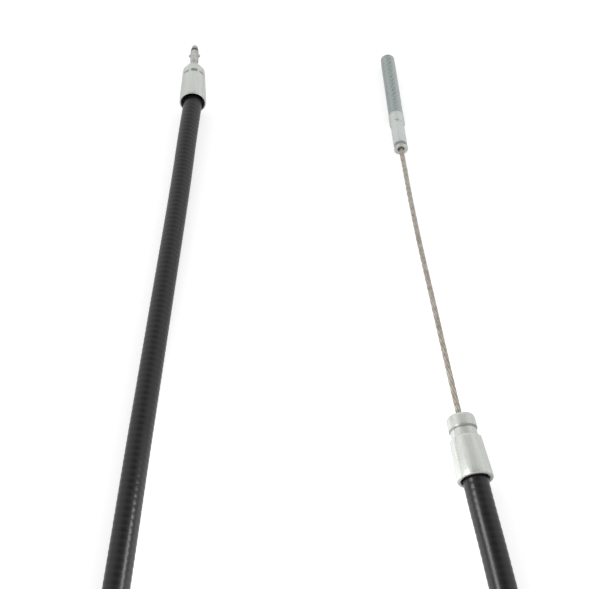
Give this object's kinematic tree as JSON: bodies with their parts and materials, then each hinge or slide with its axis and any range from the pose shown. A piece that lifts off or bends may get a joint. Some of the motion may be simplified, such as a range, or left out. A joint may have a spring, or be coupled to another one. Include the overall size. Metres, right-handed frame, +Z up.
{
  "type": "clutch cable",
  "caption": "Sheathed clutch cable with a sliding stranded core, aluminium end ferrules, a threaded adjuster rod and a small swaged end fitting.",
  "frame": {"origin": "middle of the box round the two ferrules, the adjuster rod and the end fitting, on the surface that the cable lies on", "axes": "+Z up from that surface, +Y along the two legs towards the ends of the cable, +X from the pedal-end leg to the gearbox-end leg"},
  "size_m": [0.1584, 0.5035, 0.0143],
  "materials": {
    "jacket": "black extruded plastic, faintly ribbed by the winding",
    "winding": "bright flat spring wire",
    "liner": "natural slippery plastic",
    "core_wire": "greased bright steel strand",
    "ferrule": "drawn bright aluminium",
    "zinc": "clear bluish zinc plating",
    "fitting": "bare bright steel"
  },
  "bodies": {
    "casing": {"casing_jacket": "jacket", "casing_winding": "winding", "casing_liner": "liner", "core_in_casing": "core_wire", "pedal_ferrule": "ferrule", "gearbox_ferrule": "ferrule"},
    "rod": {"adjuster_rod": "zinc", "core_lead": "core_wire"},
    "tip": {"end_fitting": "fitting", "core_tail": "core_wire"}
  },
  "joints": [
    {"name": "rod_slide", "type": "slide", "parent": "casing", "child": "rod", "axis": [0.0976, -0.9952, 0], "range_m": [0, 0.03]},
    {"name": "tip_slide", "type": "slide", "parent": "casing", "child": "tip", "axis": [-0.0523, 0.9986, 0], "range_m": [0, 0.03]}
  ],
  "couplings": [
    {"joint": "tip_slide", "follows": "rod_slide", "ratio": 1}
  ]
}
